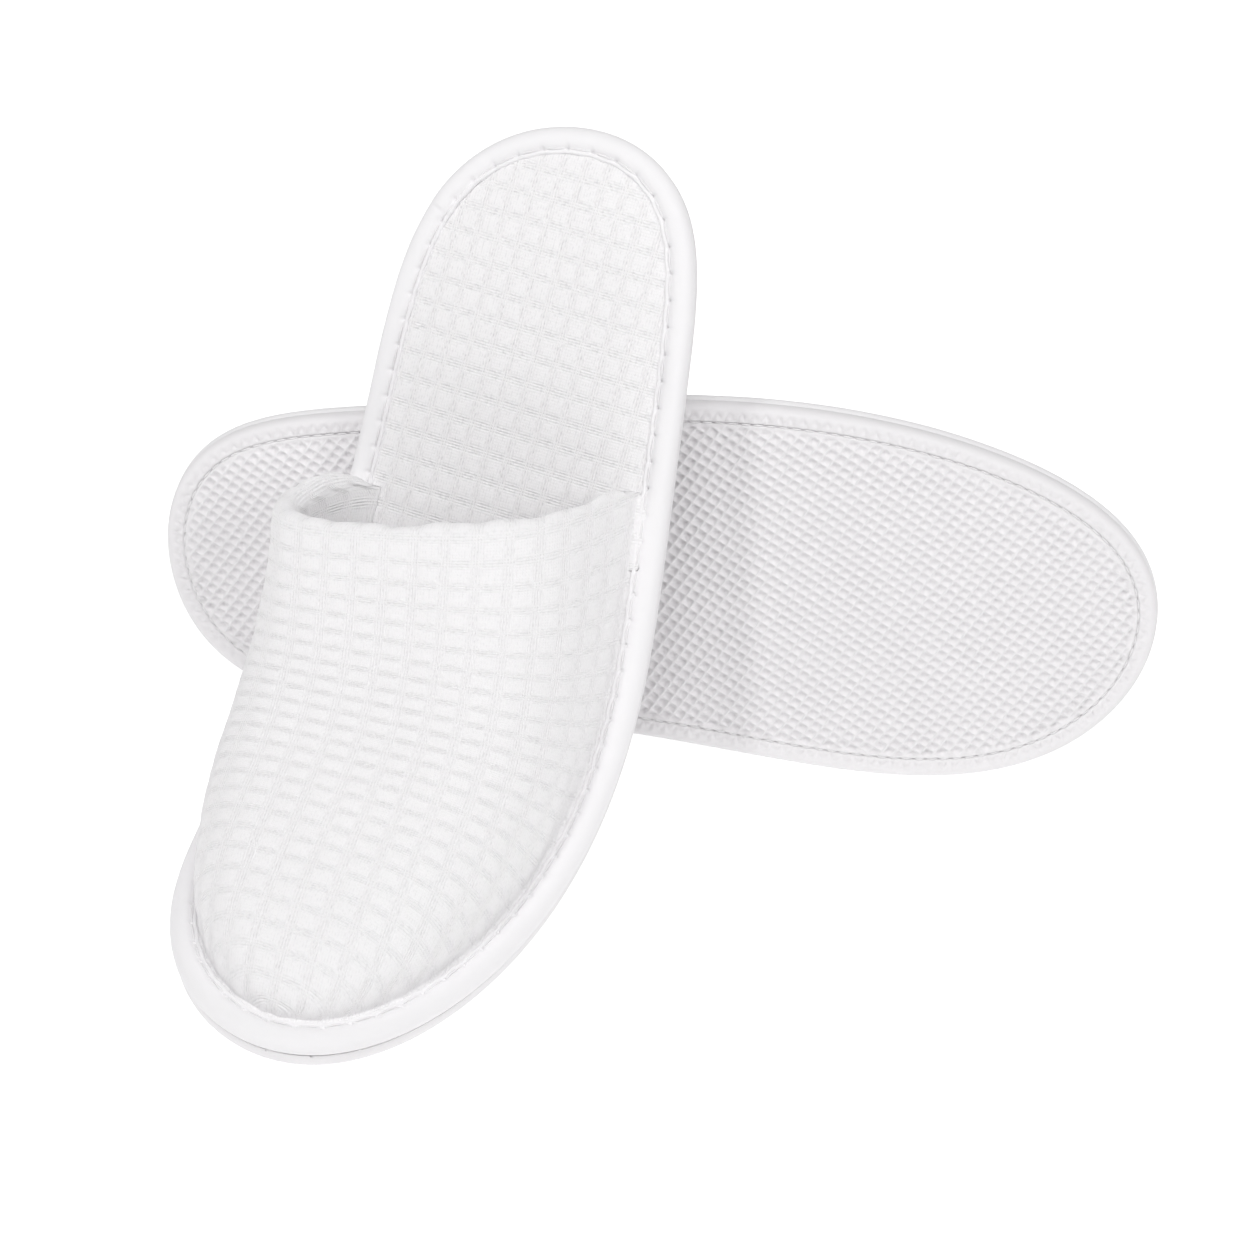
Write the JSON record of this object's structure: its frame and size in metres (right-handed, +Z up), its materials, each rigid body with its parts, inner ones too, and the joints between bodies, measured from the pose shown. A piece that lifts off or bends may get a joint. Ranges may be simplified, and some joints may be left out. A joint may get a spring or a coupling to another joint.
{
  "type": "spa slippers",
  "caption": "Closed-toe waffle-cloth spa slippers with taped edges and textured foam outsoles; the front one leans on the rear one, which lies on its side.",
  "frame": {"origin": "on the floor, at the middle of the pair's bounding box", "axes": "+Z up from the floor, +X along the rear slipper towards its toe, -Y towards the front slipper's toe"},
  "size_m": [0.2847, 0.2106, 0.1616],
  "materials": {
    "outsole_foam": "matt moulded foam",
    "backing_cloth": "matt non-woven",
    "sponge": "matt foam",
    "insole_waffle": "matt waffle weave",
    "binding_tape": "smooth brushed tape",
    "upper_waffle": "matt waffle weave",
    "lining_cloth": "matt cloth",
    "sewing_thread": "satin polyester"
  },
  "bodies": {
    "rear_slipper": {"rear_outsole": "outsole_foam", "rear_insole_backing": "backing_cloth", "rear_insole_pad": "sponge", "rear_insole_cloth": "insole_waffle", "rear_edge_binding": "binding_tape", "rear_upper_cloth": "upper_waffle", "rear_upper_foam": "sponge", "rear_upper_lining": "lining_cloth", "rear_needle_thread": "sewing_thread", "rear_bobbin_thread": "sewing_thread"},
    "front_slipper": {"front_outsole": "outsole_foam", "front_insole_backing": "backing_cloth", "front_insole_pad": "sponge", "front_insole_cloth": "insole_waffle", "front_edge_binding": "binding_tape", "front_upper_cloth": "upper_waffle", "front_upper_foam": "sponge", "front_upper_lining": "lining_cloth", "front_needle_thread": "sewing_thread", "front_bobbin_thread": "sewing_thread"}
  },
  "joints": [
    {"name": "front_lift", "type": "slide", "parent": "rear_slipper", "child": "front_slipper", "axis": [0, 0, 1], "range_m": [0, 0.25]}
  ]
}
